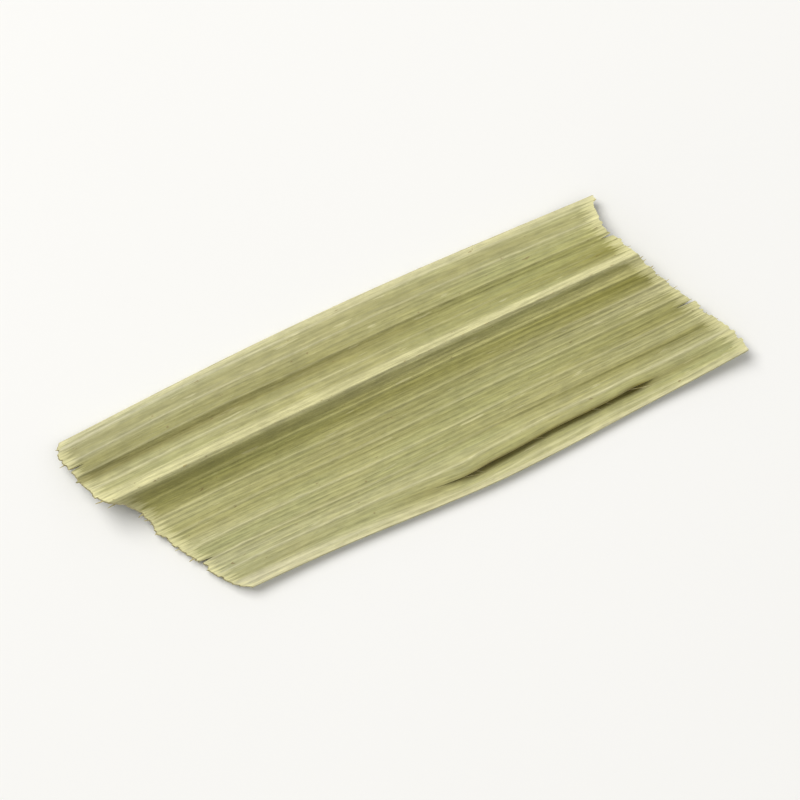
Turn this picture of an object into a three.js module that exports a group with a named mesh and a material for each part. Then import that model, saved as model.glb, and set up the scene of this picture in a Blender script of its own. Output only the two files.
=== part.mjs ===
// A cut piece of dried lemongrass leaf: a short length of the blade with its midrib, chopped on the slant
// at both ends. It lies with its lower face up, so the keel of the midrib stands as a ridge between a wide
// wing and a narrow one.
// Millimetres, +Z up, +X along the midrib; the origin is on the table, under the middle of the piece.
import * as THREE from "three";

// Size of the piece.
const KEEL_LENGTH = 12.32; // along the midrib, from cut to cut
const WIDE_WING = 2.92; // from the midrib to the margin, at the first cut
const NARROW_WING = 1.63;
const WIDE_WING_SWELL = 0.03; // how much wider each wing is at half length, as a share of its width
const NARROW_WING_SWELL = 0.09;
const BOW = 0.04; // sideways bend of the midrib, towards the narrow wing

// Thickness of the dried tissue.
const BLADE_THICKNESS = 0.17;
const MIDRIB_THICKENING = [0.18, 0.11]; // added over the midrib, at the first and second cut
const MIDRIB_SPREAD = [0.19, 0.13]; // how far it reaches to each side, at the first and second cut
const MARGIN_THICKNESS = 0.09;
const MARGIN_BAND = 0.5; // width of the strip that thins towards each margin

// Lines that run along the underside from cut to cut. Each has its distance from the midrib and its height
// at the first cut, then its distance and height at the second cut, where the leaf is less sharply folded.
const LINES = [
  [-WIDE_WING, 0.17, -2.82, 0.16], // margin, curled up a little
  [-2.58, 0.06, -2.48, 0.06],
  [-2.17, 0, -2.08, 0], // the wide wing rests on this band
  [-1.7, 0, -1.65, 0],
  [-1.35, 0, -1.32, 0.012],
  [-1.05, 0.02, -1.03, 0.045],
  [-0.8, 0.05, -0.8, 0.1],
  [-0.6, 0.1, -0.6, 0.155], // foot of the keel
  [-0.44, 0.18, -0.44, 0.205],
  [-0.3, 0.31, -0.3, 0.26],
  [-0.18, 0.46, -0.18, 0.315],
  [-0.08, 0.57, -0.08, 0.36],
  [0, 0.6, 0, 0.38], // crest of the keel
  [0.2, 0.57, 0.18, 0.35],
  [0.43, 0.47, 0.38, 0.31],
  [0.67, 0.36, 0.59, 0.29], // furrow beside the midrib
  [0.82, 0.36, 0.74, 0.3],
  [1.02, 0.32, 0.94, 0.27],
  [1.34, 0.2, 1.26, 0.18],
  [NARROW_WING, 0, 1.56, 0], // the narrow wing rests on its margin
];

// Knife cuts: [distance from the midrib, distance along the leaf from the end of the keel].
const FIRST_CUT = [
  [-WIDE_WING, 1.97],
  [-2.72, 1.67],
  [-2.22, 1.36],
  [-1.62, 1.01],
  [-1.02, 0.71],
  [-0.27, 0.36],
  [-0.1, 0.17], // the keel sticks out a little past the wide wing
  [0, 0],
  [0.38, -0.22],
  [0.68, -0.36],
  [1.08, -0.49],
  [1.48, -0.57],
  [NARROW_WING, -0.47],
];
const SECOND_CUT = [
  [-WIDE_WING, 1.28],
  [-2.4, 1.13],
  [-1.7, 0.81],
  [-1.05, 0.5],
  [-0.5, 0.2],
  [0, 0],
  [0.5, -0.16],
  [0.85, -0.34],
  [1.1, -0.39],
  [1.4, -0.36],
  [NARROW_WING, -0.27],
];

// Outward bow of the wide wing's margin: [distance along the leaf, bow].
const MARGIN_BOW = [
  [-1, 0],
  [4.5, 0],
  [6.3, 0.09],
  [7.6, 0.14],
  [9.2, 0.12],
  [11, 0.06],
  [13.8, 0],
];
const BOW_START = 2.3; // distance from the midrib where it begins

// Lift of the ends, which warped off the table as the piece dried.
const FIRST_END_LIFT = 0.08;
const SECOND_END_LIFT = 0.2;
const RESTING_SHARE = 0.5; // the middle share of the length that lies on the table

// Fineness of the faceted surface.
const POINTS_BETWEEN_LINES = 2;
const STEPS_ALONG = 38;

const { lerp, clamp, smoothstep } = THREE.MathUtils;

// Reads one column of a table at any place in its first column, on a smooth curve through the values.
function profile(table, column) {
  const places = table.map((row) => row[0]);
  const values = table.map((row) => row[column]);
  const curve = new THREE.CubicInterpolant(places, values, 1);
  return (place) => curve.evaluate(place)[0];
}

const firstHeight = profile(LINES, 1);
const secondDistance = profile(LINES, 2);
const secondHeight = profile(LINES, 3);
const firstCut = profile(FIRST_CUT, 1);
const secondCut = profile(SECOND_CUT, 1);
const marginBow = profile(MARGIN_BOW, 1);

function thickness(across, share) {
  const fromMargin = Math.min(across + WIDE_WING, NARROW_WING - across);
  const blade = lerp(MARGIN_THICKNESS, BLADE_THICKNESS, smoothstep(fromMargin, 0, MARGIN_BAND));
  const midrib = Math.exp(-((across / lerp(...MIDRIB_SPREAD, share)) ** 2));
  return blade + lerp(...MIDRIB_THICKENING, share) * midrib;
}

// Closed outline of the section at the first cut: along the underside, then back along the keeled face.
function sectionShape() {
  const distances = [];
  for (let i = 0; i < (LINES.length - 1) * POINTS_BETWEEN_LINES; i++) {
    const [line, next] = LINES.slice(Math.floor(i / POINTS_BETWEEN_LINES));
    distances.push(lerp(line[0], next[0], (i % POINTS_BETWEEN_LINES) / POINTS_BETWEEN_LINES));
  }
  distances.push(NARROW_WING);
  const low = distances.map((across) => new THREE.Vector2(across, firstHeight(across)));
  const high = low.map((p) => new THREE.Vector2(p.x, p.y + thickness(p.x, 0))).reverse();
  return new THREE.Shape([...low, ...high]);
}

// Lift of the two ends off the table, none over the resting share.
function endLift(share) {
  const beyond = Math.max(0, Math.abs(2 * share - 1) - RESTING_SHARE) / (1 - RESTING_SHARE);
  return beyond ** 2 * (share < 0.5 ? FIRST_END_LIFT : SECOND_END_LIFT);
}

// Takes a point of the straight extrusion (across, height, share of the length) to its place on the piece.
function warp(point) {
  const { x: across, y: height, z: share } = point;
  const along = lerp(firstCut(across), KEEL_LENGTH + secondCut(across), share);
  const swell = (across < 0 ? WIDE_WING_SWELL : NARROW_WING_SWELL) * Math.sin(Math.PI * share);
  const bow = BOW * Math.sin(Math.PI * clamp(along / KEEL_LENGTH, 0, 1));
  const outward = marginBow(along) * smoothstep(-across, BOW_START, WIDE_WING);
  const sideways = lerp(across, secondDistance(across), share) * (1 + swell) + bow - outward;
  const level = (height - firstHeight(across)) / thickness(across, 0);
  const underside = lerp(firstHeight(across), secondHeight(across), share) + endLift(share);
  return point.set(along, sideways, Math.max(underside, 0) + level * thickness(across, share));
}

function leafPiece() {
  const geometry = new THREE.ExtrudeGeometry(sectionShape(), {
    depth: 1,
    steps: STEPS_ALONG,
    bevelEnabled: false,
  });
  const places = geometry.attributes.position;
  const point = new THREE.Vector3();
  for (let i = 0; i < places.count; i++) {
    warp(point.fromBufferAttribute(places, i));
    places.setXYZ(i, point.x, point.y, point.z);
  }
  geometry.computeBoundingBox();
  const middle = geometry.boundingBox.getCenter(new THREE.Vector3());
  geometry.translate(-middle.x, -middle.y, -geometry.boundingBox.min.z);
  geometry.computeVertexNormals();
  return geometry;
}

const driedLeaf = new THREE.MeshStandardMaterial({ color: 0xb0ad7a, roughness: 0.62, metalness: 0 });

const leaf = new THREE.Mesh(leafPiece(), driedLeaf);
leaf.name = "leaf_piece";

const part = new THREE.Group();
part.add(leaf);

export default part;
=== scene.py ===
"""The looks of a cut piece of dried lemongrass leaf, lying keel side up on a pale table.

The blade is one fine mesh with its keel, veins, thin margins and ragged cut ends. Loose fibres stand out
of the cuts, a few fine threads cross the slit beside the wide wing's margin, and tiny prickles line the
margins and the keel. Shapes are worked out in millimetres and scaled to metres when a mesh is made.
"""
import math

import bpy
import numpy as np
from mathutils import Matrix, Vector


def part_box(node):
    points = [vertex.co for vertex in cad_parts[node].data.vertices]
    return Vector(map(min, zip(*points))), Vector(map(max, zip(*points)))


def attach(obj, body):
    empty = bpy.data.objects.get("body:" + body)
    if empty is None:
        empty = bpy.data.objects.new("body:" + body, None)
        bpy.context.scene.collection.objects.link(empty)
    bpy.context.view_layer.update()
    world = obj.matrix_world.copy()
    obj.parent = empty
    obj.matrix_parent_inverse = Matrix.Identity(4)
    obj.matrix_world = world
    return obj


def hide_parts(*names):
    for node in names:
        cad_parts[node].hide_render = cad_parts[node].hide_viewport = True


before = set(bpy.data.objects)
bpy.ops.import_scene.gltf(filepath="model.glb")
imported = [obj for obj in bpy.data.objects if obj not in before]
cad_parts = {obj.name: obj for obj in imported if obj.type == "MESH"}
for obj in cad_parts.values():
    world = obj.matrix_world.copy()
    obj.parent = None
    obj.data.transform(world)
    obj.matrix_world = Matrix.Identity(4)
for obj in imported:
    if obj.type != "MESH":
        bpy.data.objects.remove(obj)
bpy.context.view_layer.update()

MM = 0.001  # metres

# -----------------------------------------------------------------------------------------------------
# Sizes, in millimetres. A distance across the leaf counts from the midrib, below 0 on the wide wing, and
# a distance along it from the keel's first end. This first block repeats the solid of the leaf.

KEEL_LENGTH = 12.32
WIDE_WING = 2.92
NARROW_WING = 1.63
WIDE_WING_SWELL = 0.03
NARROW_WING_SWELL = 0.09
BOW = 0.04
BLADE_THICKNESS = 0.17
MIDRIB_THICKENING = (0.18, 0.11)
MIDRIB_SPREAD = (0.19, 0.13)
MARGIN_THICKNESS = 0.09
MARGIN_BAND = 0.5
LINES = [  # place across and height at the first cut, then place and height at the second
    (-WIDE_WING, 0.17, -2.82, 0.16), (-2.58, 0.06, -2.48, 0.06), (-2.17, 0, -2.08, 0), (-1.7, 0, -1.65, 0),
    (-1.35, 0, -1.32, 0.012), (-1.05, 0.02, -1.03, 0.045), (-0.8, 0.05, -0.8, 0.1),
    (-0.6, 0.1, -0.6, 0.155), (-0.44, 0.18, -0.44, 0.205), (-0.3, 0.31, -0.3, 0.26),
    (-0.18, 0.46, -0.18, 0.315), (-0.08, 0.57, -0.08, 0.36), (0, 0.6, 0, 0.38), (0.2, 0.57, 0.18, 0.35),
    (0.43, 0.47, 0.38, 0.31), (0.67, 0.36, 0.59, 0.29), (0.82, 0.36, 0.74, 0.3), (1.02, 0.32, 0.94, 0.27),
    (1.34, 0.2, 1.26, 0.18), (NARROW_WING, 0, 1.56, 0),
]
FIRST_CUT = [  # place across, distance along from the end of the keel
    (-WIDE_WING, 1.97), (-2.72, 1.67), (-2.22, 1.36), (-1.62, 1.01), (-1.02, 0.71), (-0.27, 0.36),
    (-0.1, 0.17), (0, 0), (0.38, -0.22), (0.68, -0.36), (1.08, -0.49), (1.48, -0.57), (NARROW_WING, -0.47),
]
SECOND_CUT = [
    (-WIDE_WING, 1.28), (-2.4, 1.13), (-1.7, 0.81), (-1.05, 0.5), (-0.5, 0.2), (0, 0), (0.5, -0.16),
    (0.85, -0.34), (1.1, -0.39), (1.4, -0.36), (NARROW_WING, -0.27),
]
MARGIN_BOW = [(-1, 0), (4.5, 0), (6.3, 0.09), (7.6, 0.14), (9.2, 0.12), (11, 0.06), (13.8, 0)]
BOW_START = 2.3
FIRST_END_LIFT = 0.08
SECOND_END_LIFT = 0.2
RESTING_SHARE = 0.5

# Places of the main veins, how many finer steps lie between two of them, and how high they stand.
MAIN_VEINS = (-3.2, -2.79, -2.33, -1.98, -1.6, -1.17, -0.73, -0.33, 0.0, 0.42, 0.8, 1.14, 1.5, 1.85)
FINE_VEINS = 4
MAIN_VEIN_HEIGHT = 0.016
FINE_VEIN_HEIGHT = 0.008
UNDERSIDE_VEINS = 0.7  # how high they stand on the underside, as a share of that
VEIN_SWELL = 0.25  # share by which a vein rises and falls along its way
VEIN_WANDER = 0.02  # and how far it strays aside

# Slow waves of the dried blade, which fade out where it lies on the table.
WAVE_HEIGHT = 0.022
WAVE_LENGTH = 4.5
WAVE_FADE = (0.02, 0.12)  # heights of the underside with no waves and with full ones

# A sharp furrow beside the midrib, and a fine rib along the crest of the keel.
FURROW = 0.68
FURROW_DEPTH = 0.08
FURROW_HALF_WIDTH = 0.09
FURROW_FADE = 0.75  # the share of it that is gone at the second cut
CREST_RIB = 0.03
CREST_RIB_HALF_WIDTH = 0.05

# A slit between two veins beside the wide wing's margin. The blade's edge rises there, and the margin
# strip tucks under it where the step is high enough.
SLIT = -2.56
SLIT_ENDS = (6.4, 11.6)
SLIT_HALF_GAP = 0.002
SLIT_SHAPE = [  # distance along, then how far the edge steps up, laps over and drifts inwards
    (5.2, 0, 0, 0), (6.4, 0, 0, -0.05), (7.2, 0.13, 0, -0.08), (7.7, 0.18, 0, -0.04),
    (8.2, 0.2, 0.03, -0.01), (9, 0.2, 0.03, 0.03), (10.7, 0.2, 0.03, 0.03), (11.1, 0.2, 0, 0.03),
    (11.35, 0.12, 0, 0.02), (11.6, 0, 0, 0.01), (11.9, 0, 0, 0.01), (13, 0, 0, 0),
]
SLIT_REACH = 0.55  # how far into the blade the raised edge reaches
EDGE_RISE = 0.7  # the raised edge's share of the step; the margin strip sinks by the rest
EDGE_LAP = 0.6  # the raised edge's share of the lap; the margin strip moves by the rest

# Painted shade: the colour darkens in the folds where shade falls, in the furrow, on the keel's steep side
# and along the slit.
SLIT_SHADE = [  # distance along, then strength
    (5.2, 0), (6.2, 0.45), (6.8, 0.5), (7.2, 0.9), (9, 1.05), (10.4, 1.35), (10.8, 1.3), (11.15, 1.6),
    (11.35, 1), (11.6, 0.5), (12.2, 0.5), (13.2, 0),
]
STRIP_SHADE_WIDTH = 0.09  # how wide it is on the margin strip
EDGE_SHADE_WIDTH = 0.035  # and on the blade's raised edge
FURROW_SHADE = 0.7  # strength in the furrow, at the first cut
KEEL_FOOT_SHADE = 0.45  # strength on the keel's steep side, at the first cut
KEEL_FOOT_SHADE_PLACE = -0.19
KEEL_FOOT_SHADE_WIDTH = 0.12

# The pale stripe along the keel: place of its middle at the first and second cut.
CREST_STRIPE = (0.07, 0.03)

# Broad bands along the leaf, partly its own tone and partly painted shade and painted light: darker on the
# wide wing's slope beside the keel, which turns from the light, and at the slit's raised edge, and paler on
# the curled margin at the first cut, which faces the light. Place across, then how much darker (or paler,
# below 0) it is at the first cut, half-way along and at the second cut.
TONE_SHADE_AND_LIGHT_BANDS = [
    (-WIDE_WING, -1.3, -0.8, -0.4), (-2.75, -1.2, -0.3, 0), (-2.6, 0, 0.4, 0.1), (-2.48, 0, 0.4, 0.3),
    (-2.35, -0.05, -0.05, -0.25), (-2.15, -0.4, -0.1, 0.65), (-2.0, -0.2, 0.6, 1.3), (-1.85, 0, 0.25, 0),
    (-1.72, 0, 0.2, 0.15), (-1.5, -0.4, 0.25, 1.15), (-1.35, -0.1, 0.45, 1.25), (-1.15, 0.45, 0.4, 0.7),
    (-0.97, -0.2, 0.3, -0.3), (-0.77, -0.4, 1.2, -0.2), (-0.6, 0.45, 0.75, 1.1), (-0.44, 0.5, 0.75, 1.5),
    (-0.28, 0.45, -0.4, -0.4), (-0.18, 0.3, -0.6, -0.1), (-0.08, 0.15, -0.05, 0.6), (0.02, 0.05, 0.4, 0.2),
    (0.12, 0.1, 0.4, -0.3), (0.25, 0.15, 0.4, 1), (0.38, -0.1, 0.5, 1.6), (0.62, 0.05, 0.85, 0.65),
    (0.85, 1, 0.7, 0.45), (1.1, 0.6, 0.85, 0), (1.35, 0.55, 0.65, 0.35), (1.5, -0.2, 0, 0),
    (NARROW_WING, -0.3, -0.2, -0.2),
]

# How much yellower (or greyer, below 0) the leaf is, in bands like the ones above: partly its own tone, and
# partly painted light, yellower on the keel's shaded steep side as painted warm bounce light and greyer on
# the lit narrow wing.
YELLOW_TINT_AND_PAINTED_LIGHT = [
    (-WIDE_WING, -0.3, 0, 0.3), (-2.6, -0.5, 0, 0), (-2, -0.3, 0, -0.3), (-1.3, 0, 0.1, 0),
    (-0.75, 0.15, 0, 0), (-0.55, 0.35, 0.25, 0.4), (-0.42, 0.7, 0.5, 0.6), (-0.3, 0.85, 0.7, 0.7),
    (-0.18, 0.65, 0.55, 0.5), (-0.05, 0.1, 0, 0), (0.15, -0.15, -0.2, -0.1), (0.45, -0.4, -0.2, 0.45),
    (0.8, -0.5, -0.2, 0.4), (1.1, -0.75, -0.5, -0.1), (1.35, -0.9, -0.6, -0.3),
    (NARROW_WING, -0.7, -0.3, 0),
]

# Ragged cut ends: strands of each width end at lengths that differ by about the spread.
STRANDS = ((0.26, 0.02), (0.075, 0.016))  # width, spread
MOST_STRANDS = 80  # no width has more of them
FIRST_SEED = 21  # of the random lengths at the first cut
SECOND_SEED = 22
FIRST_SPLITS = ((-1.95, 0.3), (0.98, 0.35))  # place across, depth
SECOND_SPLITS = ((-1.4, 0.45), (0.7, 0.3))
SPLIT_HALF_WIDTH = 0.03
RAGGED_REACH = 1.6  # how far from the cut the strands shift to make up these lengths
CUT_LEAN = 0.03  # how much further along the keeled face is cut than the underside
CUT_ROUGHNESS = (-0.025, 0.02)  # how far the middle of a cut lies outwards, least and most
MARGIN_ROUNDING = 0.02  # how far the middle of a margin's thickness stands out

# Fineness of the mesh.
COLUMNS = 296  # lines of points along the leaf, on each face
ROWS = 158  # points in each line
CROWDED_PLACES = [  # place across, half width, and how much closer together the lines lie there
    (-0.1, 0.4, 0.9), (-WIDE_WING, 0.08, 1.2), (NARROW_WING, 0.08, 1.2), (SLIT, 0.1, 1.2),
]
CROWDED_PLACES += [(place, SPLIT_HALF_WIDTH, 1.2) for place, _ in FIRST_SPLITS + SECOND_SPLITS]
CROWDED_ENDS = (0.03, 1.5)  # share of the length, and how much closer together the points lie there

# Loose fibres at the cuts. Two values are the least and the most, where no comment says otherwise.
FIBRES_PER_CUT = 26
FIBRE_CLEARANCE = 0.05  # kept free beside each margin
FIBRE_ROOT = 0.12  # how far inside the cut a fibre starts
FIBRE_LEVEL = (0.3, 0.75)  # and how high in the thickness of the blade
FIBRE_HALF_WIDTH = (0.011, 0.02)
FIBRE_TAPER = 0.93  # nearer 1 for a finer tip
SHORTEST_FIBRE = 0.1
LONGEST_FIBRE = 0.4
EXTRA_LENGTH = 0.06  # how much longer than the shortest they are on average
FIBRE_LEAN = 0.12  # spread of their lean and of their bend, as shares of their length
FIBRE_BEND = 0.16
LOWEST_FIBRE = 0.03  # height above the table
FLATNESS = 0.8  # depth of a fibre or prickle, as a share of its width

# Threads that cross the slit, and the places along the leaf where they start.
SLIT_THREADS = (6.85, 7.2, 8.5, 9.9, 10.3, 10.9)
THREAD_START = 0.04  # distance from the slit, on the blade
THREAD_START_LEVEL = 0.85  # how high in its thickness
THREAD_END = 0.09  # distance from the slit, on the margin strip
THREAD_SLANT = (0.2, 0.6)  # how much further along a thread ends
THREAD_BOW = (-0.12, 0.12)  # how it bends sideways
THREAD_RISE = 0.06  # and up
THREAD_HALF_WIDTH = (0.005, 0.009)
THREAD_TAPER = 0.5  # the share of it that is gone at the end

# Prickles. The side is -1 or 1 on a margin, where they point outwards, and 0 on the keel.
PRICKLE_ROWS = ((-WIDE_WING, 0.13, -1), (NARROW_WING, 0.15, 1), (0.0, 0.42, 0))  # place, spacing, side
PRICKLE_SPACING = (0.5, 1.6)  # as shares of that
PRICKLE_ENDS = (0.01, 0.99)  # shares of the leaf's length between which they stand
PRICKLE_LENGTH = (0.035, 0.085)
PRICKLE_HALF_WIDTH = 0.24  # at its foot, as a share of its length
PRICKLE_TAPER = 0.9  # nearer 1 for a finer tip
PRICKLE_DEPTH = 0.008  # how far inside the margin its foot is
PRICKLE_LEAN = (0.85, 0.42)  # how it leans forwards and outwards, as shares of its length
PRICKLE_RISE = (-0.05, 0.15)  # and up
KEEL_PRICKLE_RISE = 0.45
PRICKLE_HOOK = (0.35, -0.12, -0.1)  # how its tip bends forwards, outwards and up


# -----------------------------------------------------------------------------------------------------
# The shape of the blade

def smooth_curve(table, at, column=1):
    """Reads a column of a table at any places of its first column, on a smooth curve through the values."""
    x, y = np.array(table, float).T[[0, column]]
    slope = np.gradient(y, x)
    i = np.clip(np.searchsorted(x, at) - 1, 0, len(x) - 2)
    step = x[i + 1] - x[i]
    t = np.clip((at - x[i]) / step, 0, 1)
    start = (1 + 2 * t) * (1 - t) ** 2 * y[i] + t * (1 - t) ** 2 * step * slope[i]
    end = t**2 * (3 - 2 * t) * y[i + 1] - t**2 * (1 - t) * step * slope[i + 1]
    return start + end


def ramp(x, low, high):
    """0 up to low, 1 from high on, and smooth between them."""
    t = np.clip((x - low) / (high - low), 0, 1)
    return t * t * (3 - 2 * t)


def bell(distance, half_width):
    """1 at no distance, about a third at the half width, and soon 0 beyond it."""
    return np.exp(-((distance / half_width) ** 2))


def between(first, second, share):
    """The value at a share of the way from the first to the second."""
    return first + (second - first) * share


def ripple(x, y, seed, length):
    """Gentle waves of about that length, between about -1 and 1."""
    rng = np.random.default_rng(seed)
    total = np.zeros(np.broadcast(x, y).shape)
    for _ in range(5):
        turn, phase, size = rng.uniform(0, 2 * math.pi), rng.uniform(0, 2 * math.pi), rng.uniform(0.7, 1.5)
        total += np.sin((x * math.cos(turn) + y * math.sin(turn)) * 2 * math.pi * size / length + phase)
    return total / 3


def along_leaf(across, share):
    """Distance along the leaf at a share of the way from cut to cut."""
    return between(smooth_curve(FIRST_CUT, across), KEEL_LENGTH + smooth_curve(SECOND_CUT, across), share)


def share_at(across, along):
    """The share of the way from cut to cut, at a distance along the leaf."""
    first, second = along_leaf(across, 0), along_leaf(across, 1)
    return (along - first) / (second - first)


def sideways(across, share):
    """Where a line of the leaf lies across the piece."""
    along = along_leaf(across, share)
    swell = np.where(across < 0, WIDE_WING_SWELL, NARROW_WING_SWELL) * np.sin(math.pi * share)
    bow = BOW * np.sin(math.pi * np.clip(along / KEEL_LENGTH, 0, 1))
    outward = smooth_curve(MARGIN_BOW, along) * ramp(-across, BOW_START, WIDE_WING)
    return between(across, smooth_curve(LINES, across, 2), share) * (1 + swell) + bow - outward


def underside_height(across, share):
    """Height of the smooth underside above the table."""
    beyond = np.maximum(0, np.abs(2 * share - 1) - RESTING_SHARE) / (1 - RESTING_SHARE)
    lift = beyond**2 * np.where(share < 0.5, FIRST_END_LIFT, SECOND_END_LIFT)
    return between(smooth_curve(LINES, across, 1), smooth_curve(LINES, across, 3), share) + lift


def thickness(across, share):
    """Thickness of the smooth blade, more over the midrib and less towards the margins."""
    from_margin = np.minimum(across + WIDE_WING, NARROW_WING - across)
    blade = MARGIN_THICKNESS + (BLADE_THICKNESS - MARGIN_THICKNESS) * ramp(from_margin, 0, MARGIN_BAND)
    return blade + between(*MIDRIB_THICKENING, share) * bell(across, between(*MIDRIB_SPREAD, share))


def slit_move(across, along):
    """How far the slit moves the tissue beside it, sideways and up."""
    step, lap, drift = (smooth_curve(SLIT_SHAPE, along, column) for column in (1, 2, 3))
    raised_edge = (across > SLIT) * (1 - ramp(across, SLIT, SLIT + SLIT_REACH))
    margin_strip = (across <= SLIT) * ramp(across, -WIDE_WING, SLIT)
    aside = lap * ((1 - EDGE_LAP) * margin_strip - EDGE_LAP * raised_edge)
    up = step * (EDGE_RISE * raised_edge - (1 - EDGE_RISE) * margin_strip)
    return aside + drift * (raised_edge + margin_strip), up


def furrow(across, share):
    """1 in the furrow beside the midrib, and less to both sides of it and towards the second cut."""
    return (1 - FURROW_FADE * share) * bell(across - FURROW, FURROW_HALF_WIDTH)


def vein_count(across, along):
    """Rises by one from each main vein to the next; the veins wander a little as they go."""
    wander = VEIN_WANDER * ripple(along, across * 0.4, seed=3, length=6)
    return np.interp(across + wander, MAIN_VEINS, np.arange(len(MAIN_VEINS)))


def vein_relief(across, along):
    """Height of the veins above the tissue between them."""
    count = vein_count(across, along)
    main = np.cos(math.pi * count) ** 2
    fine = np.cos(math.pi * count * FINE_VEINS) ** 2
    strength = 1 - VEIN_SWELL + VEIN_SWELL * ripple(along, across * 3, seed=5, length=5)
    return strength * (MAIN_VEIN_HEIGHT * main**6 + FINE_VEIN_HEIGHT * fine**1.5)


def blade_point(across, share, level, relief=1.0):
    """A point of the piece: level 0 is the underside and 1 the keeled face."""
    along = along_leaf(across, share)
    aside, up = slit_move(across, along)
    low = np.maximum(underside_height(across, share) + up, 0)
    waves = WAVE_HEIGHT * ramp(low, *WAVE_FADE) * ripple(along, across, seed=11, length=WAVE_LENGTH)
    veins = relief * vein_relief(across, along) * between(-UNDERSIDE_VEINS, 1, level)
    carved = CREST_RIB * bell(across, CREST_RIB_HALF_WIDTH) - FURROW_DEPTH * furrow(across, share)
    height = low + waves + (thickness(across, share) + carved) * level + veins
    return np.stack(np.broadcast_arrays(along, sideways(across, share) + aside, np.maximum(height, 0)), -1)


def painted_crease_shade(across, along, share):
    """How strong the painted shade is in the furrow, on the keel's steep side and beside the slit."""
    keel = KEEL_FOOT_SHADE * (1 - share) * bell(across - KEEL_FOOT_SHADE_PLACE, KEEL_FOOT_SHADE_WIDTH)
    width = np.where(across < SLIT, STRIP_SHADE_WIDTH, EDGE_SHADE_WIDTH)
    slit = smooth_curve(SLIT_SHADE, along) * bell(across - SLIT, width)
    return np.maximum.reduce([FURROW_SHADE * furrow(across, share), keel, slit])


def band_value(table, across, share):
    """Reads a table of bands that run from cut to cut."""
    first, middle, second = (smooth_curve(table, across, column) for column in (1, 2, 3))
    first_half = between(first, middle, 2 * share)
    return np.where(share < 0.5, first_half, between(middle, second, 2 * share - 1))


def middle_of_plain_blade(columns=60, rows=120):
    """Where the middle of the solid's box lies, counted from the keel's first end."""
    across, share = np.meshgrid(np.linspace(-WIDE_WING, NARROW_WING, columns), np.linspace(0, 1, rows))
    x, y = along_leaf(across, share), sideways(across, share)
    return np.array([(x.min() + x.max()) / 2, (y.min() + y.max()) / 2, 0])


solid_low, solid_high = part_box("leaf_piece")
PLACE = np.array((solid_low + solid_high) / 2) / MM * (1, 1, 0) - middle_of_plain_blade()


# -----------------------------------------------------------------------------------------------------
# Cut ends

def strand_lengths(across, seed, splits):
    """How far each line along the leaf stops short of the clean cut, or runs past it where negative."""
    rng = np.random.default_rng(seed)
    short = np.zeros_like(across)
    for width, spread in STRANDS:
        which = np.floor((across + WIDE_WING) / width).astype(int)
        short += rng.normal(0, spread, MOST_STRANDS)[which]
    for place, depth in splits:
        short += depth * np.maximum(0, 1 - np.abs(across - place) / SPLIT_HALF_WIDTH)
    return short


def ragged_share(across, share, level):
    """Moves a share of the length so that each strand has its own ends."""
    first = strand_lengths(across, FIRST_SEED, FIRST_SPLITS) + CUT_LEAN * level
    second = strand_lengths(across, SECOND_SEED, SECOND_SPLITS) - CUT_LEAN * level
    near_first = 1 - ramp(share * KEEL_LENGTH, 0, RAGGED_REACH)
    near_second = ramp(share * KEEL_LENGTH, KEEL_LENGTH - RAGGED_REACH, KEEL_LENGTH)
    return share + (first * near_first - second * near_second) / KEEL_LENGTH


# -----------------------------------------------------------------------------------------------------
# Help with meshes

def crowded(low, high, count, weight, fineness=4000):
    """count places from low to high, closer together where the weight is greater."""
    fine = np.linspace(low, high, fineness)
    total = np.cumsum(weight(fine))
    return np.interp(np.linspace(total[0], total[-1], count), total, fine)


def strip(grid):
    """The four-sided faces between neighbours in a grid of point numbers."""
    return np.stack([grid[:-1, :-1], grid[1:, :-1], grid[1:, 1:], grid[:-1, 1:]], -1).reshape(-1, 4)


def ribbon(*lines):
    """A grid of point numbers from lines of them that lie side by side."""
    return np.stack(lines, 1)


def strip_map(grid, low, high):
    """A flat map of such a strip's corners, filling the rectangle from low to high."""
    rows, columns = grid.shape
    u = np.linspace(low[0], high[0], rows)
    v = np.linspace(low[1], high[1], columns)
    u, v = np.meshgrid(u, v, indexing="ij")
    return np.stack([strip(u), strip(v)], -1)


def numbered(parts):
    """One list of points from several arrays of them, and the numbers that each array's points get."""
    numbers = []
    start = 0
    for part in parts:
        count = part[..., 0].size
        numbers.append(start + np.arange(count).reshape(part.shape[:-1]))
        start += count
    return np.concatenate([part.reshape(-1, 3) for part in parts]), numbers


def new_piece(name, points, faces, materials, face_materials=0, sharp_deg=50):
    """A mesh object from points in millimetres, riding on the piece's one body."""
    mesh = bpy.data.meshes.new(name)
    mesh.from_pydata((np.asarray(points) * MM).tolist(), [], [list(face) for face in faces])
    for material in materials:
        mesh.materials.append(material)
    face_materials = np.broadcast_to(face_materials, len(faces)).astype(np.int32)
    mesh.polygons.foreach_set("material_index", face_materials)
    mesh.shade_smooth()
    mesh.set_sharp_from_angle(angle=math.radians(sharp_deg))
    piece = bpy.data.objects.new(name, mesh)
    bpy.context.scene.collection.objects.link(piece)
    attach(piece, "root")
    return piece


def set_numbers(mesh, name, values):
    """Keeps a number for each point of a mesh, for its material to read."""
    attribute = mesh.attributes.new(name, "FLOAT", "POINT")
    attribute.data.foreach_set("value", np.ravel(values).astype(np.float32))


def set_map(mesh, name, corners):
    """Keeps a flat map of a mesh, given at the corners of its faces."""
    layer = mesh.uv_layers.new(name=name, do_init=False)
    layer.uv.foreach_set("vector", np.ravel(corners).astype(np.float32))


# -----------------------------------------------------------------------------------------------------
# The blade

def column_weight(across):
    """How close together the lines along the leaf lie."""
    weight = np.ones_like(across)
    for place, half_width, extra in CROWDED_PLACES:
        weight = weight + extra * bell(across - place, half_width)
    return weight


def row_weight(share):
    """How close together the points of a line lie."""
    reach, extra = CROWDED_ENDS
    return 1 + extra * bell(share, reach) + extra * bell(1 - share, reach)


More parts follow.
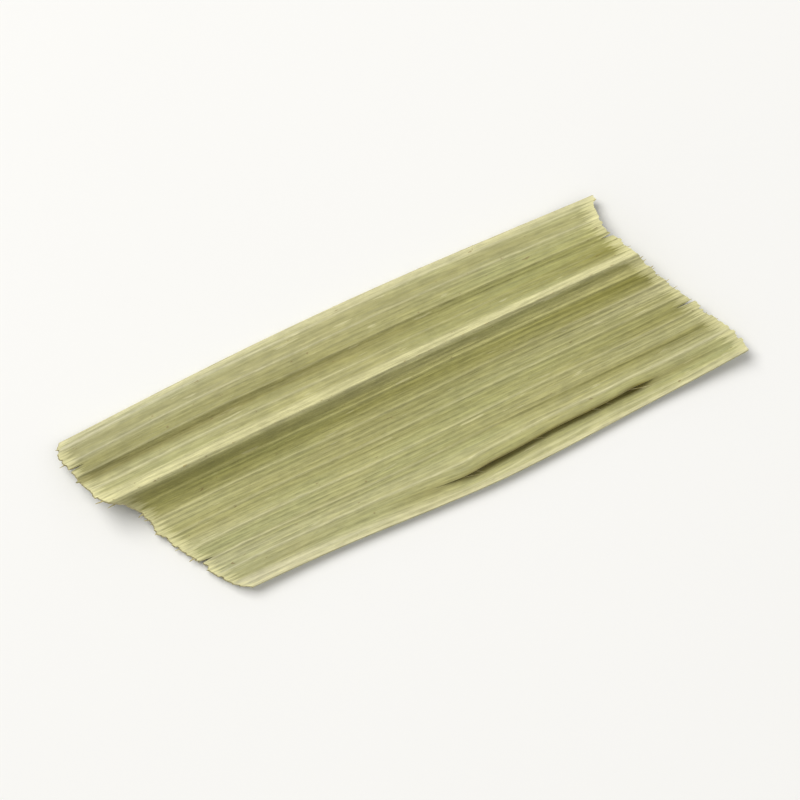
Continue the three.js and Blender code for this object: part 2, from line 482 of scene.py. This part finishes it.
def blade_grid():
    """Lines of points from cut to cut: their places across, and shares of the length on both faces.

    Two neighbouring lines run along the slit's two edges; the number of the first is given too.
    """
    across = crowded(-WIDE_WING, NARROW_WING, COLUMNS, column_weight)
    slit = int(np.searchsorted(across, SLIT)) - 1
    across[slit:slit + 2] = SLIT - SLIT_HALF_GAP, SLIT + SLIT_HALF_GAP
    share = crowded(0, 1, ROWS, row_weight)
    across, share = np.meshgrid(across, share)
    return across, ragged_share(across, share, 1), ragged_share(across, share, 0), slit


def cut_middles(top, low):
    """The points half-way down each cut end, where the torn tissue is uneven."""
    rng = np.random.default_rng(7)
    middles = []
    for end, outward in ((0, -1), (-1, 1)):
        middle = (top[end, 1:-1] + low[end, 1:-1]) / 2
        middle[:, 0] += outward * rng.uniform(*CUT_ROUGHNESS, len(middle))
        middles.append(middle)
    return middles


def blade_strips(numbers, slit, rows):
    """The strips of faces that make up the blade, with a slit between two rows.

    Each is its grid of points, its material, its rectangle on the flat map and the faces that it keeps.
    """
    keeled, inner, cut, margin = range(4)
    top, low, wide_rim, narrow_rim, first_middle, second_middle = numbers
    first_cut = np.concatenate([wide_rim[:1], first_middle, narrow_rim[:1]])
    second_cut = np.concatenate([wide_rim[-1:], second_middle, narrow_rim[-1:]])
    first, last = rows
    pair = slice(slit, slit + 2)
    top_edges, low_edges = top[first:last + 1, pair], low[first:last + 1, pair]
    whole = np.ones((ROWS - 1, COLUMNS - 1), bool)
    whole[first:last, slit] = False
    return [
        (top, keeled, (0.005, 0.54), (0.995, 0.93), whole),
        (low[:, ::-1], inner, (0.005, 0.46), (0.995, 0.07), whole[:, ::-1]),
        (ribbon(low[:, 0], wide_rim, top[:, 0]), margin, (0.005, 0.0), (0.995, 0.015), True),
        (ribbon(top[:, -1], narrow_rim, low[:, -1]), margin, (0.005, 0.02), (0.995, 0.035), True),
        (ribbon(top[0], first_cut, low[0]), cut, (0.005, 0.94), (0.495, 0.96), True),
        (ribbon(low[-1], second_cut, top[-1]), cut, (0.505, 0.94), (0.995, 0.96), True),
        (ribbon(top_edges[:, 0], low_edges[:, 0]), cut, (0.005, 0.97), (0.395, 0.98), True),
        (ribbon(low_edges[:, 1], top_edges[:, 1]), cut, (0.405, 0.97), (0.795, 0.98), True),
        (np.stack([top_edges[0], low_edges[0]]), cut, (0.81, 0.97), (0.82, 0.98), True),
        (np.stack([top_edges[-1, ::-1], low_edges[-1, ::-1]]), cut, (0.83, 0.97), (0.84, 0.98), True),
    ]


def keep_leaf_numbers(mesh, across, along):
    """Keeps for each point of the blade what its materials read."""
    share = np.clip(share_at(across, along), 0, 1)
    from_stripe = np.abs(across - between(*CREST_STRIPE, share))
    numbers = {
        "vein_count": vein_count(across, along),
        "from_crest": from_stripe / between(*MIDRIB_SPREAD, share),
        "from_margin": np.minimum(across + WIDE_WING, NARROW_WING - across),
        "from_cut": np.minimum(along - along_leaf(across, 0), along_leaf(across, 1) - along),
        # painted shade in the furrow, on the keel's steep side and along the slit
        "crease_shade": painted_crease_shade(across, along, share),
        # painted shade and painted light in broad bands, with the leaf's own tone
        "shade": band_value(TONE_SHADE_AND_LIGHT_BANDS, across, share),
        # painted light: yellower in the keel's shade, greyer on the lit narrow wing, with the leaf's own
        # tone
        "yellow_tint": band_value(YELLOW_TINT_AND_PAINTED_LIGHT, across, share),
    }
    for name, values in numbers.items():
        set_numbers(mesh, name, values)


def blade_piece(materials):
    """The blade: two fine faces, thin rounded margins and rough cut ends, in one closed mesh."""
    across, top_share, low_share, slit = blade_grid()
    top = blade_point(across, top_share, 1)
    low = blade_point(across, low_share, 0)
    wide_rim = (top[:, 0] + low[:, 0]) / 2 - (0, MARGIN_ROUNDING, 0)
    narrow_rim = (top[:, -1] + low[:, -1]) / 2 + (0, MARGIN_ROUNDING, 0)
    points, numbers = numbered([top, low, wide_rim, narrow_rim, *cut_middles(top, low)])
    strips = blade_strips(numbers, slit, np.searchsorted(top[:, slit, 0], SLIT_ENDS))

    faces, flat_map, kinds = [], [], []
    for grid, kind, low_corner, high_corner, kept in strips:
        keep = np.broadcast_to(kept, (grid.shape[0] - 1, grid.shape[1] - 1)).ravel()
        faces.append(strip(grid)[keep])
        flat_map.append(strip_map(grid, low_corner, high_corner)[keep])
        kinds.append(np.full(len(faces[-1]), kind))
    faces = np.concatenate(faces)
    piece = new_piece("leaf_blade", points + PLACE, faces, materials, np.concatenate(kinds))

    cut_columns = across[0, 1:-1]
    margins = [across[:, 0], across[:, -1]]
    across = np.concatenate([across.ravel(), across.ravel(), *margins, cut_columns, cut_columns])
    along = points[:, 0]
    keep_leaf_numbers(piece.data, across, along)
    set_map(piece.data, "blade", np.stack([along, across], -1)[faces])
    set_map(piece.data, "OFBake", np.concatenate(flat_map))
    piece.data.uv_layers["blade"].active_render = True
    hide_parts("leaf_piece")


# -----------------------------------------------------------------------------------------------------
# Fibres, threads and prickles

def strand(path, half_widths, half_depths, sides=7):
    """Points and faces of a closed strand along a path, with its half widths level."""
    path = np.asarray(path, float)
    ahead = np.gradient(path, axis=0)
    ahead /= np.linalg.norm(ahead, axis=1, keepdims=True)
    level = np.cross((0, 0, 1), ahead)
    level /= np.linalg.norm(level, axis=1, keepdims=True)
    upright = np.cross(ahead, level)
    turn = np.linspace(0, 2 * math.pi, sides, endpoint=False)
    ring = level[:, None] * np.cos(turn)[None, :, None] * np.asarray(half_widths)[:, None, None]
    ring = ring + upright[:, None] * np.sin(turn)[None, :, None] * np.asarray(half_depths)[:, None, None]
    grid = np.arange(len(path) * sides).reshape(len(path), sides)
    around = np.concatenate([grid, grid[:, :1]], 1)
    faces = [list(face) for face in strip(around)[:, ::-1]]
    faces += [grid[0, ::-1].tolist(), grid[-1].tolist()]
    return (path[:, None] + ring).reshape(-1, 3), faces


def strands_piece(name, strands, material):
    """Several strands as one mesh object."""
    points, faces, count = [], [], 0
    for strand_points, strand_faces in strands:
        points.append(strand_points)
        faces += [[corner + count for corner in face] for face in strand_faces]
        count += len(strand_points)
    new_piece(name, np.concatenate(points) + PLACE, faces, [material])


def frayed_fibres(material):
    """Loose vein fibres that stand out of both cut ends."""
    rng = np.random.default_rng(31)
    t = np.linspace(0, 1, 7)[:, None]
    fibres = []
    for end, seed, splits in ((0, FIRST_SEED, FIRST_SPLITS), (1, SECOND_SEED, SECOND_SPLITS)):
        outward = 2 * end - 1
        for _ in range(FIBRES_PER_CUT):
            across = rng.uniform(-WIDE_WING + FIBRE_CLEARANCE, NARROW_WING - FIBRE_CLEARANCE)
            inside = strand_lengths(np.array([across]), seed, splits)[0] + FIBRE_ROOT
            share = end - outward * inside / KEEL_LENGTH
            root = blade_point(across, share, rng.uniform(*FIBRE_LEVEL), relief=0)
            length = min(SHORTEST_FIBRE + rng.exponential(EXTRA_LENGTH), LONGEST_FIBRE)
            lean = rng.normal(0, FIBRE_LEAN, 2)
            bend = rng.normal(0, FIBRE_BEND, 2)
            path = root + length * t * (outward, *lean) + length * t**2 * (0, *bend)
            path[:, 2] = np.maximum(path[:, 2], LOWEST_FIBRE)
            taper = np.sqrt(1 - FIBRE_TAPER * t[:, 0] ** 2) * rng.uniform(*FIBRE_HALF_WIDTH)
            fibres.append(strand(path, taper, taper * FLATNESS))
    strands_piece("frayed_fibres", fibres, material)


def slit_threads(material):
    """Fine fibres that reach from the slit's raised edge down to the margin strip."""
    rng = np.random.default_rng(51)
    t = np.linspace(0, 1, 8)[:, None]
    start, end = SLIT + THREAD_START, SLIT - THREAD_END
    threads = []
    for along in SLIT_THREADS:
        slant = rng.uniform(*THREAD_SLANT)
        high = blade_point(start, share_at(start, along), THREAD_START_LEVEL, relief=0)
        low = blade_point(end, share_at(end, along + slant), 1, relief=0)
        path = high + (low - high) * t + t * (1 - t) * (0, rng.uniform(*THREAD_BOW), THREAD_RISE)
        taper = rng.uniform(*THREAD_HALF_WIDTH) * (1 - THREAD_TAPER * t[:, 0])
        threads.append(strand(path, taper, taper, sides=6))
    strands_piece("slit_threads", threads, material)


def prickle(root, side, rng):
    """A tiny tooth that leans towards the leaf's tip, and outwards from a margin or up from the keel."""
    t = np.linspace(0, 1, 5)[:, None]
    forwards, outwards = PRICKLE_LEAN
    hook_forwards, hook_outwards, hook_up = PRICKLE_HOOK
    length = rng.uniform(*PRICKLE_LENGTH)
    lean = (forwards, outwards * side, rng.uniform(*PRICKLE_RISE) if side else KEEL_PRICKLE_RISE)
    path = root + length * t * lean + length * t**2 * (hook_forwards, hook_outwards * side, hook_up)
    taper = (1 - PRICKLE_TAPER * t[:, 0]) ** 0.8 * length * PRICKLE_HALF_WIDTH
    return strand(path, taper, taper * FLATNESS, sides=6)


def margin_prickles(material):
    """Rows of prickles along both margins, and a few along the keel."""
    rng = np.random.default_rng(41)
    first, last = PRICKLE_ENDS
    prickles = []
    for across, spacing, side in PRICKLE_ROWS:
        share = first
        while share < last:
            root = blade_point(np.float64(across), share, 0.5 if side else 1, relief=0)
            prickles.append(prickle(root - (0, PRICKLE_DEPTH * side, 0), side, rng))
            share += spacing * rng.uniform(*PRICKLE_SPACING) / KEEL_LENGTH
    strands_piece("margin_prickles", prickles, material)


# -----------------------------------------------------------------------------------------------------
# Help with shader nodes

def tone(red, green, blue):
    """A colour given in the usual 0 to 255 scale, as a shader takes it."""
    return tuple(((c / 255 + 0.055) / 1.055) ** 2.4 for c in (red, green, blue)) + (1,)


def add(tree, kind, inputs=None, **settings):
    """Adds a node. inputs gives each socket a value, or the socket that feeds it."""
    node = tree.nodes.new("ShaderNode" + kind)
    for name, value in settings.items():
        setattr(node, name, value)
    for name, value in (inputs or {}).items():
        if isinstance(value, bpy.types.NodeSocket):
            tree.links.new(value, node.inputs[name])
        else:
            node.inputs[name].default_value = value
    return node


def calc(tree, operation, a, b=0.0, c=0.0, clamp=False):
    """The result of a sum on values or sockets."""
    return add(tree, "Math", {0: a, 1: b, 2: c}, operation=operation, use_clamp=clamp).outputs[0]


def times(tree, value, factor, plus=None):
    """The value times the factor, plus one more where it is given."""
    if plus is None:
        return calc(tree, "MULTIPLY", value, factor)
    return calc(tree, "MULTIPLY_ADD", value, factor, plus)


def mix(tree, share, first, second, mode="MIX"):
    """Mixes two colours, or a colour with one worked out by the given mode."""
    made = add(tree, "Mix", {0: share, 6: first, 7: second}, data_type="RGBA", blend_type=mode)
    return made.outputs[2]


def spread(tree, value, low, high, to_low=0.0, to_high=1.0):
    """Stretches a value from low..high to to_low..to_high, smoothly and no further."""
    inputs = {"Value": value, "From Min": low, "From Max": high, "To Min": to_low, "To Max": to_high}
    return add(tree, "MapRange", inputs, interpolation_type="SMOOTHSTEP").outputs["Result"]


def noise(tree, place, scale, detail, roughness=0.5):
    """Smooth random values around 0.5, that change about as often as the scale says in a unit of place."""
    inputs = {"Vector": place, "Scale": scale, "Detail": detail, "Roughness": roughness}
    return add(tree, "TexNoise", inputs).outputs["Fac"]


def stretched_noise(tree, place, length, width, seed, **settings):
    """Noise that runs along the leaf: a place there is counted in lengths along it and widths across it."""
    flat = add(tree, "SeparateXYZ", {0: place})
    along = calc(tree, "DIVIDE", flat.outputs["X"], length)
    across = calc(tree, "DIVIDE", flat.outputs["Y"], width)
    where = add(tree, "CombineXYZ", {"X": along, "Y": across, "Z": seed}).outputs[0]
    return noise(tree, where, **settings)


def new_group(name, inputs, outputs):
    """An empty node group, with the outputs of its input node and its output node."""
    group = bpy.data.node_groups.new(name, "ShaderNodeTree")
    for socket, kind in inputs.items():
        group.interface.new_socket(socket, in_out="INPUT", socket_type="NodeSocket" + kind)
    for socket, kind in outputs.items():
        group.interface.new_socket(socket, in_out="OUTPUT", socket_type="NodeSocket" + kind)
    return group, group.nodes.new("NodeGroupInput").outputs, group.nodes.new("NodeGroupOutput")


def use(tree, group, **inputs):
    """Places a node group with these values or sockets at its inputs, and returns its output."""
    return add(tree, "Group", inputs, node_tree=group).outputs[0]


def number(tree, name):
    """The number that a mesh keeps for each point under that name."""
    return add(tree, "Attribute", attribute_name=name).outputs["Fac"]


# -----------------------------------------------------------------------------------------------------
# Effects that several materials share

def streaks_group():
    """Streaks that run along the leaf, from 0 to 1, of the given width and length in millimetres."""
    group, given, result = new_group(
        "lengthwise_streaks",
        {"Place": "Vector", "Width": "Float", "Length": "Float", "Seed": "Float"},
        {"Streak": "Float"},
    )
    place, length, width, seed = given["Place"], given["Length"], given["Width"], given["Seed"]
    cloud = stretched_noise(group, place, length, width, seed, scale=1.0, detail=3.0, roughness=0.6)
    group.links.new(spread(group, cloud, 0.3, 0.7), result.inputs["Streak"])
    return group


def vein_lines_group():
    """Lines on the veins: 1 on each whole count, and narrower with more Sharpness."""
    group, given, result = new_group(
        "vein_lines", {"Count": "Float", "Sharpness": "Float"}, {"Line": "Float"}
    )
    wave = calc(group, "COSINE", times(group, given["Count"], math.pi))
    line = calc(group, "POWER", times(group, wave, wave), given["Sharpness"])
    group.links.new(line, result.inputs["Line"])
    return group


def flecks_group():
    """Sparse flecks, 1 inside and 0 outside, of the given size in millimetres, drawn out along the leaf."""
    group, given, result = new_group(
        "flecks",
        {"Place": "Vector", "Size": "Float", "Stretch": "Float", "Threshold": "Float", "Seed": "Float"},
        {"Fleck": "Float"},
    )
    length = times(group, given["Size"], given["Stretch"])
    place, width, seed = given["Place"], given["Size"], given["Seed"]
    cloud = stretched_noise(group, place, length, width, seed, scale=0.6, detail=2.0)
    above = calc(group, "SUBTRACT", cloud, given["Threshold"])
    group.links.new(spread(group, above, 0.0, 0.05), result.inputs["Fleck"])
    return group


def dry_edge_group():
    """1 on an edge, fading to 0 over Reach with an uneven front, for edges that dried pale."""
    group, given, result = new_group(
        "dry_edge", {"Distance": "Float", "Reach": "Float", "Unevenness": "Float"}, {"Edge": "Float"}
    )
    front = times(group, given["Reach"], calc(group, "ADD", given["Unevenness"], 0.35))
    near = calc(group, "SUBTRACT", 1.0, calc(group, "DIVIDE", given["Distance"], front), clamp=True)
    group.links.new(calc(group, "POWER", near, 0.6), result.inputs["Edge"])
    return group


def yellow_tint_group():
    """Takes the Amount, as a share, out of a colour's blue, or adds it where negative."""
    group, given, result = new_group(
        "yellow_tint", {"Colour": "Color", "Amount": "Float"}, {"Colour": "Color"}
    )
    blue = calc(group, "SUBTRACT", 1.0, given["Amount"])
    tint = add(group, "CombineColor", {"Red": 1.0, "Green": 1.0, "Blue": blue}).outputs[0]
    group.links.new(mix(group, 1.0, given["Colour"], tint, mode="MULTIPLY"), result.inputs["Colour"])
    return group


# -----------------------------------------------------------------------------------------------------
# Materials

def new_material(name, roughness, sheen=0.0, specular=0.35):
    """A material with a plain Principled shader, returned with its tree and the shader."""
    material = bpy.data.materials.new(name)
    material.use_nodes = True
    tree = material.node_tree
    shader = tree.nodes["Principled BSDF"]
    shader.inputs["Roughness"].default_value = roughness
    shader.inputs["Sheen Weight"].default_value = sheen
    shader.inputs["Specular IOR Level"].default_value = specular
    return material, tree, shader


def set_relief(tree, shader, height, depth):
    """Raises the surface by the height times the depth in millimetres."""
    bump = add(tree, "Bump", {"Height": height, "Strength": 1.0, "Distance": depth * MM})
    tree.links.new(bump.outputs["Normal"], shader.inputs["Normal"])


def leaf_marks(tree, effects):
    """Where a face of the leaf has streaks, flecks, veins and dried edges, each as a mask from 0 to 1."""
    streaks, flecks = effects["streaks"], effects["flecks"]
    veins, dry_edge = effects["vein_lines"], effects["dry_edge"]
    place = add(tree, "UVMap", uv_map="blade").outputs["UV"]
    count = number(tree, "vein_count")
    fine_count = times(tree, count, float(FINE_VEINS))
    from_cut, from_margin = number(tree, "from_cut"), number(tree, "from_margin")
    bands = use(tree, streaks, Place=place, Width=0.42, Length=7.0, Seed=2.0)
    fine = use(tree, streaks, Place=place, Width=0.05, Length=1.3, Seed=3.0)
    return {
        "patches": use(tree, streaks, Place=place, Width=1.6, Length=4.5, Seed=1.0),
        "bands": bands,
        "fine": fine,
        "hair": use(tree, streaks, Place=place, Width=0.022, Length=0.5, Seed=4.0),
        "mottle": use(tree, streaks, Place=place, Width=0.17, Length=0.36, Seed=9.0),
        "scuffs": use(tree, flecks, Place=place, Size=0.06, Stretch=9.0, Threshold=0.66, Seed=5.0),
        "specks": use(tree, flecks, Place=place, Size=0.045, Stretch=2.6, Threshold=0.72, Seed=6.0),
        "main_veins": use(tree, veins, Count=count, Sharpness=9.0),
        "fine_veins": use(tree, veins, Count=fine_count, Sharpness=1.6),
        "dry_cut": use(tree, dry_edge, Distance=from_cut, Reach=0.3, Unevenness=fine),
        "dry_margin": use(tree, dry_edge, Distance=from_margin, Reach=0.13, Unevenness=bands),
    }


def tinted(tree, colour, tones, layers):
    """Lays tones over a colour. Each layer is its mask, its strength and the name of its tone."""
    for mask, strength, name in layers:
        colour = mix(tree, times(tree, mask, strength), colour, tones[name])
    return colour


def tissue_colour(tree, tones, marks, vein_tint):
    """Slow changes of tone along the leaf, pale main veins, and darker tissue between the fine ones."""
    colour = mix(tree, marks["patches"], tones["khaki"], tones["sage"])
    gaps = calc(tree, "SUBTRACT", 1.0, marks["fine_veins"])
    return tinted(tree, colour, tones, [
        (marks["bands"], 0.5, "olive"),
        (marks["main_veins"], vein_tint, "straw"),
        (gaps, 0.28, "shadow"),
    ])


def folded_colour(tree, effects, colour, tones, marks, midrib_reach, yellow_tint):
    """Adds the pale midrib, and broad darker, paler and yellower bands along the folds: partly the leaf's
    own tone, partly painted shade and painted light.
    """
    pale = spread(tree, number(tree, "from_crest"), 0.4 * midrib_reach, midrib_reach, 1.0, 0.0)
    pale = times(tree, pale, times(tree, marks["fine"], 0.35, plus=0.55))
    colour = mix(tree, pale, colour, tones["midrib"])
    # Painted shade and painted light with the leaf's own tone: darker towards the band tone, paler towards
    # straw.
    uneven = times(tree, number(tree, "shade"), times(tree, marks["bands"], 0.5, plus=0.35))
    darker = calc(tree, "MAXIMUM", uneven, 0.0)
    paler = calc(tree, "MULTIPLY", uneven, -1.0, clamp=True)
    colour = mix(tree, paler, mix(tree, darker, colour, tones["band"]), tones["straw"])
    # Painted light: yellower in the keel's shade, greyer on the lit narrow wing, with the leaf's own tone.
    amount = times(tree, number(tree, "yellow_tint"), yellow_tint)
    return use(tree, effects["yellow_tint"], Colour=colour, Amount=amount)


def weathered_colour(tree, colour, tones, marks):
    """Adds dried edges, bleached scuffs, painted shade in the creases, brown specks, and fine hairlines over
    them all.
    """
    colour = tinted(tree, colour, tones, [
        (marks["dry_cut"], 0.75, "midrib"),
        (marks["dry_margin"], 0.7, "straw"),
        (marks["scuffs"], 0.35, "straw"),
        # painted shade in the furrow, on the keel's steep side and along the slit
        (number(tree, "crease_shade"), 0.9, "crease_shade"),
        (marks["specks"], 0.6, "brown"),
    ])
    grain = times(tree, marks["fine"], 0.22, plus=times(tree, marks["hair"], 0.2, plus=0.71))
    grain = times(tree, marks["mottle"], 0.16, plus=grain)
    return mix(tree, 1.0, colour, grain, mode="MULTIPLY")


def leaf_face(name, effects, tones, midrib_reach, vein_tint, yellow_tint):
    """A face of the blade, in its tones.

    The pale midrib reaches midrib_reach times the keel's own spread to each side, vein_tint is how pale the
    main veins are, and yellow_tint how strong the yellower and greyer bands are, which are partly painted
    light.
    """
    material, tree, shader = new_material(name, roughness=0.6, sheen=0.08)
    marks = leaf_marks(tree, effects)
    colour = tissue_colour(tree, tones, marks, vein_tint)
    colour = folded_colour(tree, effects, colour, tones, marks, midrib_reach, yellow_tint)
    colour = weathered_colour(tree, colour, tones, marks)
    tree.links.new(colour, shader.inputs["Base Color"])
    rough = times(tree, marks["fine"], 0.16, plus=times(tree, marks["fine_veins"], -0.08, plus=0.56))
    tree.links.new(rough, shader.inputs["Roughness"])
    height = times(tree, marks["hair"], 0.3, plus=marks["fine"])
    height = times(tree, marks["fine_veins"], 0.4, plus=height)
    set_relief(tree, shader, times(tree, marks["mottle"], 1.2, plus=height), depth=0.006)
    return material


def cut_tissue(effects):
    """Torn and cut edges: pale pith, fibrous along the leaf, with the cut veins as darker dots."""
    material, tree, shader = new_material("cut_tissue", roughness=0.8)
    count = times(tree, number(tree, "vein_count"), float(FINE_VEINS))
    bundles = use(tree, effects["vein_lines"], Count=count, Sharpness=3.0)
    place = add(tree, "TexCoord").outputs["Object"]
    drawn_out = add(tree, "Mapping", {"Vector": place, "Scale": (0.1, 1, 1)}).outputs[0]
    pith = noise(tree, drawn_out, scale=26000.0, detail=3.0)
    colour = mix(tree, spread(tree, pith, 0.35, 0.65), tone(212, 204, 156), tone(182, 173, 122))
    colour = mix(tree, times(tree, bundles, 0.45), colour, tone(150, 134, 86))
    tree.links.new(colour, shader.inputs["Base Color"])
    set_relief(tree, shader, pith, depth=0.01)
    return material


def margin_edge(effects):
    """The thin edges of the blade, hard and straw-coloured."""
    material, tree, shader = new_material("margin_edge", roughness=0.5)
    place = add(tree, "UVMap", uv_map="blade").outputs["UV"]
    streak = use(tree, effects["streaks"], Place=place, Width=0.3, Length=0.5, Seed=8.0)
    colour = mix(tree, streak, tone(214, 208, 160), tone(184, 178, 126))
    tree.links.new(colour, shader.inputs["Base Color"])
    set_relief(tree, shader, streak, depth=0.005)
    return material


def dry_fibre():
    """Bare vein fibres and prickles: pale straw, a little browner in places."""
    material, tree, shader = new_material("dry_fibre", roughness=0.55, sheen=0.1)
    place = add(tree, "TexCoord").outputs["Object"]
    patch = noise(tree, place, scale=4000.0, detail=3.0)
    colour = mix(tree, spread(tree, patch, 0.35, 0.65), tone(206, 198, 150), tone(176, 162, 106))
    tree.links.new(colour, shader.inputs["Base Color"])
    set_relief(tree, shader, patch, depth=0.004)
    return material


def pale_table():
    """The table: matt, and very slightly cloudy."""
    material, tree, shader = new_material("pale_table", roughness=0.7)
    place = add(tree, "TexCoord").outputs["Object"]
    cloud = noise(tree, place, scale=60.0, detail=2.0)
    tree.links.new(mix(tree, cloud, tone(240, 240, 239), tone(243, 243, 242)), shader.inputs["Base Color"])
    return material


# -----------------------------------------------------------------------------------------------------
# Table, lights and camera, in metres

MIDRIB_SLANT = math.radians(25.3)  # the midrib rises by this to the right, as the camera sees it
CAMERA_ELEVATION = math.radians(86)
CAMERA_DISTANCE = 0.094
CAMERA_LENS = 200
RIGHT = Vector((math.cos(MIDRIB_SLANT), -math.sin(MIDRIB_SLANT), 0))  # on the table, as the camera sees it
UP = Vector((math.sin(MIDRIB_SLANT), math.cos(MIDRIB_SLANT), 0))
TABLE_HALF_WIDTH = 0.6
DAYLIGHT = (1.0, 0.99, 0.965)
ROOM_BRIGHTNESS = 0.37


def aim(thing, place, target):
    """Puts a camera or light at a place, turned to the target, with UP upwards in what it sees."""
    back = (place - target).normalized()
    right = UP.cross(back).normalized()
    turned = Matrix((right, back.cross(right), back)).transposed().to_4x4()
    thing.matrix_world = Matrix.Translation(place) @ turned


def add_table():
    """A flat table under the leaf."""
    mesh = bpy.data.meshes.new("table")
    half = TABLE_HALF_WIDTH
    corners = [(-half, -half, 0), (half, -half, 0), (half, half, 0), (-half, half, 0)]
    mesh.from_pydata(corners, [], [(0, 1, 2, 3)])
    mesh.materials.append(pale_table())
    table = bpy.data.objects.new("table", mesh)
    bpy.context.scene.collection.objects.link(table)


def add_light(name, right, up, height, size, power, colour=(1, 1, 1)):
    """A square soft light, so far to the camera's right and up, and so high above the table."""
    light = bpy.data.lights.new(name, "AREA")
    light.size = size
    light.energy = power
    light.color = colour
    lamp = bpy.data.objects.new(name, light)
    bpy.context.scene.collection.objects.link(lamp)
    aim(lamp, RIGHT * right + UP * up + Vector((0, 0, height)), Vector((0, 0, 0)))


def add_lights():
    """Soft daylight from the upper left, a weak light from the lower right, and a pale room."""
    add_light("window", right=-0.12, up=0.12, height=0.26, size=0.18, power=0.78, colour=DAYLIGHT)
    add_light("fill", right=0.2, up=-0.12, height=0.3, size=0.3, power=0.18)
    world = bpy.data.worlds.new("room")
    world.use_nodes = True
    room = world.node_tree.nodes["Background"]
    room.inputs["Color"].default_value = (*DAYLIGHT, 1)
    room.inputs["Strength"].default_value = ROOM_BRIGHTNESS
    bpy.context.scene.world = world
    bpy.context.scene.view_settings.view_transform = "Standard"


def add_camera():
    """A camera almost straight above the leaf."""
    target = (solid_low + solid_high) / 2
    camera = bpy.data.cameras.new("camera")
    camera.lens = CAMERA_LENS
    camera.clip_start = 0.005
    camera.clip_end = 5
    holder = bpy.data.objects.new("camera", camera)
    bpy.context.scene.collection.objects.link(holder)
    towards = Vector((0, 0, 1)) * math.sin(CAMERA_ELEVATION) - UP * math.cos(CAMERA_ELEVATION)
    aim(holder, target + towards * CAMERA_DISTANCE, target)
    bpy.context.scene.camera = holder


# -----------------------------------------------------------------------------------------------------
# The whole scene

effects = {
    "streaks": streaks_group(),
    "vein_lines": vein_lines_group(),
    "flecks": flecks_group(),
    "dry_edge": dry_edge_group(),
    "yellow_tint": yellow_tint_group(),
}
keeled_tones = {
    "khaki": tone(188, 183, 124),
    "sage": tone(174, 175, 119),
    "olive": tone(168, 163, 108),
    "shadow": tone(134, 130, 78),
    "straw": tone(214, 209, 166),
    "midrib": tone(222, 217, 164),
    # the darker end of the broad bands, partly painted shade
    "band": tone(142, 138, 74),
    # the tone of the painted shade in the furrow, on the keel's steep side and along the slit
    "crease_shade": tone(112, 104, 42),
    "brown": tone(124, 100, 58),
}
inner_tones = {
    "khaki": tone(168, 168, 118),
    "sage": tone(150, 158, 112),
    "olive": tone(146, 148, 98),
    "shadow": tone(112, 118, 70),
    "straw": tone(200, 196, 150),
    "midrib": tone(204, 200, 156),
    # the darker end of the broad bands, partly painted shade
    "band": tone(150, 152, 104),
    # the same painted shade, on the inner face
    "crease_shade": tone(124, 122, 78),
    "brown": tone(116, 96, 56),
}
fibre = dry_fibre()
blade_piece([
    leaf_face("keeled_face", effects, keeled_tones, midrib_reach=1.1, vein_tint=0.35, yellow_tint=0.3),
    leaf_face("inner_face", effects, inner_tones, midrib_reach=3.6, vein_tint=0.22, yellow_tint=0.05),
    cut_tissue(effects),
    margin_edge(effects),
])
frayed_fibres(fibre)
slit_threads(fibre)
margin_prickles(fibre)
add_table()
add_lights()
add_camera()
